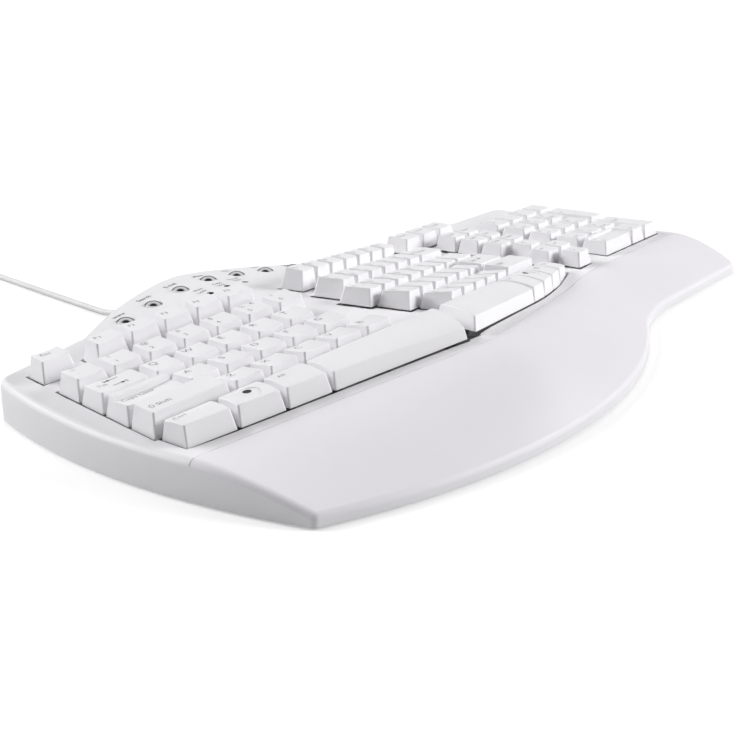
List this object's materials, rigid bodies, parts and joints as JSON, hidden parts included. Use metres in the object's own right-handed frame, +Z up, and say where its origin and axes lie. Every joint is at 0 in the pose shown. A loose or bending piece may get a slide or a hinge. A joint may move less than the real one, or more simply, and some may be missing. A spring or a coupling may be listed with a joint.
{
  "type": "ergonomic keyboard",
  "caption": "White split ergonomic keyboard with tented key wings, number pad, curved palm rest, chrome dome buttons and a USB cord",
  "frame": {"origin": "centre of the keyboard's own box at the level of the desk under its rubber feet, cord left out", "axes": "+X to the number pad along the width, +Y to the back where the cord leaves, +Z up"},
  "size_m": [0.478, 0.5552, 0.0451],
  "materials": {
    "case_plastic": "fine satin moulded plastic",
    "palm_plastic": "smooth satin moulded plastic",
    "key_plastic": "satin key plastic with printed legends",
    "button_chrome": "polished chrome",
    "frame_plastic": "moulded plastic",
    "dome_rubber": "silicone rubber",
    "membrane_film": "printed film",
    "plate_steel": "plain sheet steel",
    "board_green": "circuit board",
    "switch_black": "switch body",
    "lamp_clear": "clear lamp lens",
    "window_dark": "smoked window",
    "screw_steel": "zinc plated",
    "foot_rubber": "rubber",
    "cord_vinyl": "soft vinyl jacket",
    "relief_vinyl": "soft vinyl",
    "tie_fabric": "woven strap",
    "grip_plastic": "moulded grip",
    "shell_metal": "plated metal shell"
  },
  "bodies": {
    "case": {"bottom_case": "case_plastic", "top_case": "case_plastic", "palm_rest": "palm_plastic", "left_key_frame": "frame_plastic", "right_key_frame": "frame_plastic", "pad_key_frame": "frame_plastic", "rubber_dome_sheets": "dome_rubber", "contact_membranes": "membrane_film", "backing_plates": "plate_steel", "controller_board": "board_green", "media_switches": "switch_black", "indicator_leds": "lamp_clear", "led_windows": "window_dark", "case_screws": "screw_steel", "rubber_feet": "foot_rubber", "cord_strain_relief": "relief_vinyl", "cord": "cord_vinyl", "cord_coil": "cord_vinyl", "cord_tie": "tie_fabric", "usb_plug_grip": "grip_plastic", "usb_plug_shell": "shell_metal"},
    "left_flip": {"left_flip_foot": "case_plastic"},
    "right_flip": {"right_flip_foot": "case_plastic"},
    "media_buttons": {"media_buttons": "button_chrome"},
    "esc_key": {"esc_key": "key_plastic"},
    "f_keys_left": {"f_keys_left": "key_plastic"},
    "number_keys_left": {"number_keys_left": "key_plastic"},
    "tab_key": {"tab_key": "key_plastic"},
    "upper_letters_left": {"upper_letters_left": "key_plastic"},
    "caps_lock_key": {"caps_lock_key": "key_plastic"},
    "home_letters_left": {"home_letters_left": "key_plastic"},
    "shift_key_left": {"shift_key_left": "key_plastic"},
    "lower_letters_left": {"lower_letters_left": "key_plastic"},
    "ctrl_key_left": {"ctrl_key_left": "key_plastic"},
    "logo_key_left": {"logo_key_left": "key_plastic"},
    "alt_key_left": {"alt_key_left": "key_plastic"},
    "space_bar_left": {"space_bar_left": "key_plastic"},
    "f_keys_right": {"f_keys_right": "key_plastic"},
    "number_keys_right": {"number_keys_right": "key_plastic"},
    "backspace_key": {"backspace_key": "key_plastic"},
    "upper_letters_right": {"upper_letters_right": "key_plastic"},
    "backslash_key": {"backslash_key": "key_plastic"},
    "home_letters_right": {"home_letters_right": "key_plastic"},
    "enter_key": {"enter_key": "key_plastic"},
    "lower_letters_right": {"lower_letters_right": "key_plastic"},
    "shift_key_right": {"shift_key_right": "key_plastic"},
    "space_bar_right": {"space_bar_right": "key_plastic"},
    "alt_key_right": {"alt_key_right": "key_plastic"},
    "logo_key_right": {"logo_key_right": "key_plastic"},
    "menu_key": {"menu_key": "key_plastic"},
    "ctrl_key_right": {"ctrl_key_right": "key_plastic"},
    "print_keys": {"print_keys": "key_plastic"},
    "editing_keys": {"editing_keys": "key_plastic"},
    "arrow_keys": {"arrow_keys": "key_plastic"},
    "pad_upper_keys": {"pad_upper_keys": "key_plastic"},
    "pad_digit_keys": {"pad_digit_keys": "key_plastic"},
    "pad_plus_key": {"pad_plus_key": "key_plastic"},
    "pad_enter_key": {"pad_enter_key": "key_plastic"},
    "pad_zero_key": {"pad_zero_key": "key_plastic"},
    "pad_point_key": {"pad_point_key": "key_plastic"}
  },
  "joints": [
    {"name": "esc_key_press", "type": "slide", "parent": "case", "child": "esc_key", "axis": [0.1133, -0.0028, -0.9936], "range_m": [0, 0.0033], "stiffness_N_per_m": 150, "springref_m": -0.003},
    {"name": "f_keys_left_press", "type": "slide", "parent": "case", "child": "f_keys_left", "axis": [0.1133, -0.0028, -0.9936], "range_m": [0, 0.0033], "stiffness_N_per_m": 150, "springref_m": -0.003},
    {"name": "number_keys_left_press", "type": "slide", "parent": "case", "child": "number_keys_left", "axis": [0.1133, -0.0028, -0.9936], "range_m": [0, 0.0033], "stiffness_N_per_m": 150, "springref_m": -0.003},
    {"name": "tab_key_press", "type": "slide", "parent": "case", "child": "tab_key", "axis": [0.1133, -0.0028, -0.9936], "range_m": [0, 0.0033], "stiffness_N_per_m": 150, "springref_m": -0.003},
    {"name": "upper_letters_left_press", "type": "slide", "parent": "case", "child": "upper_letters_left", "axis": [0.1133, -0.0028, -0.9936], "range_m": [0, 0.0033], "stiffness_N_per_m": 150, "springref_m": -0.003},
    {"name": "caps_lock_key_press", "type": "slide", "parent": "case", "child": "caps_lock_key", "axis": [0.1133, -0.0028, -0.9936], "range_m": [0, 0.0033], "stiffness_N_per_m": 150, "springref_m": -0.003},
    {"name": "home_letters_left_press", "type": "slide", "parent": "case", "child": "home_letters_left", "axis": [0.1133, -0.0028, -0.9936], "range_m": [0, 0.0033], "stiffness_N_per_m": 150, "springref_m": -0.003},
    {"name": "shift_key_left_press", "type": "slide", "parent": "case", "child": "shift_key_left", "axis": [0.1133, -0.0028, -0.9936], "range_m": [0, 0.0033], "stiffness_N_per_m": 150, "springref_m": -0.003},
    {"name": "lower_letters_left_press", "type": "slide", "parent": "case", "child": "lower_letters_left", "axis": [0.1133, -0.0028, -0.9936], "range_m": [0, 0.0033], "stiffness_N_per_m": 150, "springref_m": -0.003},
    {"name": "ctrl_key_left_press", "type": "slide", "parent": "case", "child": "ctrl_key_left", "axis": [0.1133, -0.0028, -0.9936], "range_m": [0, 0.0033], "stiffness_N_per_m": 150, "springref_m": -0.003},
    {"name": "logo_key_left_press", "type": "slide", "parent": "case", "child": "logo_key_left", "axis": [0.1133, -0.0028, -0.9936], "range_m": [0, 0.0033], "stiffness_N_per_m": 150, "springref_m": -0.003},
    {"name": "alt_key_left_press", "type": "slide", "parent": "case", "child": "alt_key_left", "axis": [0.1133, -0.0028, -0.9936], "range_m": [0, 0.0033], "stiffness_N_per_m": 150, "springref_m": -0.003},
    {"name": "space_bar_left_press", "type": "slide", "parent": "case", "child": "space_bar_left", "axis": [0.1133, -0.0028, -0.9936], "range_m": [0, 0.0033], "stiffness_N_per_m": 150, "springref_m": -0.003, "deforming": ["rubber_dome_sheets"]},
    {"name": "f_keys_right_press", "type": "slide", "parent": "case", "child": "f_keys_right", "axis": [-0.1133, -0.0028, -0.9936], "range_m": [0, 0.0033], "stiffness_N_per_m": 150, "springref_m": -0.003},
    {"name": "number_keys_right_press", "type": "slide", "parent": "case", "child": "number_keys_right", "axis": [-0.1133, -0.0028, -0.9936], "range_m": [0, 0.0033], "stiffness_N_per_m": 150, "springref_m": -0.003},
    {"name": "backspace_key_press", "type": "slide", "parent": "case", "child": "backspace_key", "axis": [-0.1133, -0.0028, -0.9936], "range_m": [0, 0.0033], "stiffness_N_per_m": 150, "springref_m": -0.003},
    {"name": "upper_letters_right_press", "type": "slide", "parent": "case", "child": "upper_letters_right", "axis": [-0.1133, -0.0028, -0.9936], "range_m": [0, 0.0033], "stiffness_N_per_m": 150, "springref_m": -0.003},
    {"name": "backslash_key_press", "type": "slide", "parent": "case", "child": "backslash_key", "axis": [-0.1133, -0.0028, -0.9936], "range_m": [0, 0.0033], "stiffness_N_per_m": 150, "springref_m": -0.003},
    {"name": "home_letters_right_press", "type": "slide", "parent": "case", "child": "home_letters_right", "axis": [-0.1133, -0.0028, -0.9936], "range_m": [0, 0.0033], "stiffness_N_per_m": 150, "springref_m": -0.003},
    {"name": "enter_key_press", "type": "slide", "parent": "case", "child": "enter_key", "axis": [-0.1133, -0.0028, -0.9936], "range_m": [0, 0.0033], "stiffness_N_per_m": 150, "springref_m": -0.003},
    {"name": "lower_letters_right_press", "type": "slide", "parent": "case", "child": "lower_letters_right", "axis": [-0.1133, -0.0028, -0.9936], "range_m": [0, 0.0033], "stiffness_N_per_m": 150, "springref_m": -0.003},
    {"name": "shift_key_right_press", "type": "slide", "parent": "case", "child": "shift_key_right", "axis": [-0.1133, -0.0028, -0.9936], "range_m": [0, 0.0033], "stiffness_N_per_m": 150, "springref_m": -0.003},
    {"name": "space_bar_right_press", "type": "slide", "parent": "case", "child": "space_bar_right", "axis": [-0.1133, -0.0028, -0.9936], "range_m": [0, 0.0033], "stiffness_N_per_m": 150, "springref_m": -0.003},
    {"name": "alt_key_right_press", "type": "slide", "parent": "case", "child": "alt_key_right", "axis": [-0.1133, -0.0028, -0.9936], "range_m": [0, 0.0033], "stiffness_N_per_m": 150, "springref_m": -0.003},
    {"name": "logo_key_right_press", "type": "slide", "parent": "case", "child": "logo_key_right", "axis": [-0.1133, -0.0028, -0.9936], "range_m": [0, 0.0033], "stiffness_N_per_m": 150, "springref_m": -0.003},
    {"name": "menu_key_press", "type": "slide", "parent": "case", "child": "menu_key", "axis": [-0.1133, -0.0028, -0.9936], "range_m": [0, 0.0033], "stiffness_N_per_m": 150, "springref_m": -0.003},
    {"name": "ctrl_key_right_press", "type": "slide", "parent": "case", "child": "ctrl_key_right", "axis": [-0.1133, -0.0028, -0.9936], "range_m": [0, 0.0033], "stiffness_N_per_m": 150, "springref_m": -0.003},
    {"name": "print_keys_press", "type": "slide", "parent": "case", "child": "print_keys", "axis": [0, 0, -1], "range_m": [0, 0.0033], "stiffness_N_per_m": 150, "springref_m": -0.003},
    {"name": "editing_keys_press", "type": "slide", "parent": "case", "child": "editing_keys", "axis": [0, 0, -1], "range_m": [0, 0.0033], "stiffness_N_per_m": 150, "springref_m": -0.003},
    {"name": "arrow_keys_press", "type": "slide", "parent": "case", "child": "arrow_keys", "axis": [0, 0, -1], "range_m": [0, 0.0033], "stiffness_N_per_m": 150, "springref_m": -0.003},
    {"name": "pad_upper_keys_press", "type": "slide", "parent": "case", "child": "pad_upper_keys", "axis": [0, 0, -1], "range_m": [0, 0.0033], "stiffness_N_per_m": 150, "springref_m": -0.003},
    {"name": "pad_digit_keys_press", "type": "slide", "parent": "case", "child": "pad_digit_keys", "axis": [0, 0, -1], "range_m": [0, 0.0033], "stiffness_N_per_m": 150, "springref_m": -0.003},
    {"name": "pad_plus_key_press", "type": "slide", "parent": "case", "child": "pad_plus_key", "axis": [0, 0, -1], "range_m": [0, 0.0033], "stiffness_N_per_m": 150, "springref_m": -0.003},
    {"name": "pad_enter_key_press", "type": "slide", "parent": "case", "child": "pad_enter_key", "axis": [0, 0, -1], "range_m": [0, 0.0033], "stiffness_N_per_m": 150, "springref_m": -0.003},
    {"name": "pad_zero_key_press", "type": "slide", "parent": "case", "child": "pad_zero_key", "axis": [0, 0, -1], "range_m": [0, 0.0033], "stiffness_N_per_m": 150, "springref_m": -0.003},
    {"name": "pad_point_key_press", "type": "slide", "parent": "case", "child": "pad_point_key", "axis": [0, 0, -1], "range_m": [0, 0.0033], "stiffness_N_per_m": 150, "springref_m": -0.003},
    {"name": "media_buttons_press", "type": "slide", "parent": "case", "child": "media_buttons", "axis": [0, 0, -1], "range_m": [0, 0.0006], "stiffness_N_per_m": 600, "springref_m": -0.001},
    {"name": "left_flip_foot_hinge", "type": "hinge", "parent": "case", "child": "left_flip", "pos_m": [-0.156, 0.062, 0.0027], "axis": [1, 0, 0], "range_deg": [0, 100]},
    {"name": "right_flip_foot_hinge", "type": "hinge", "parent": "case", "child": "right_flip", "pos_m": [0.188, 0.062, 0.0027], "axis": [1, 0, 0], "range_deg": [0, 100]}
  ]
}
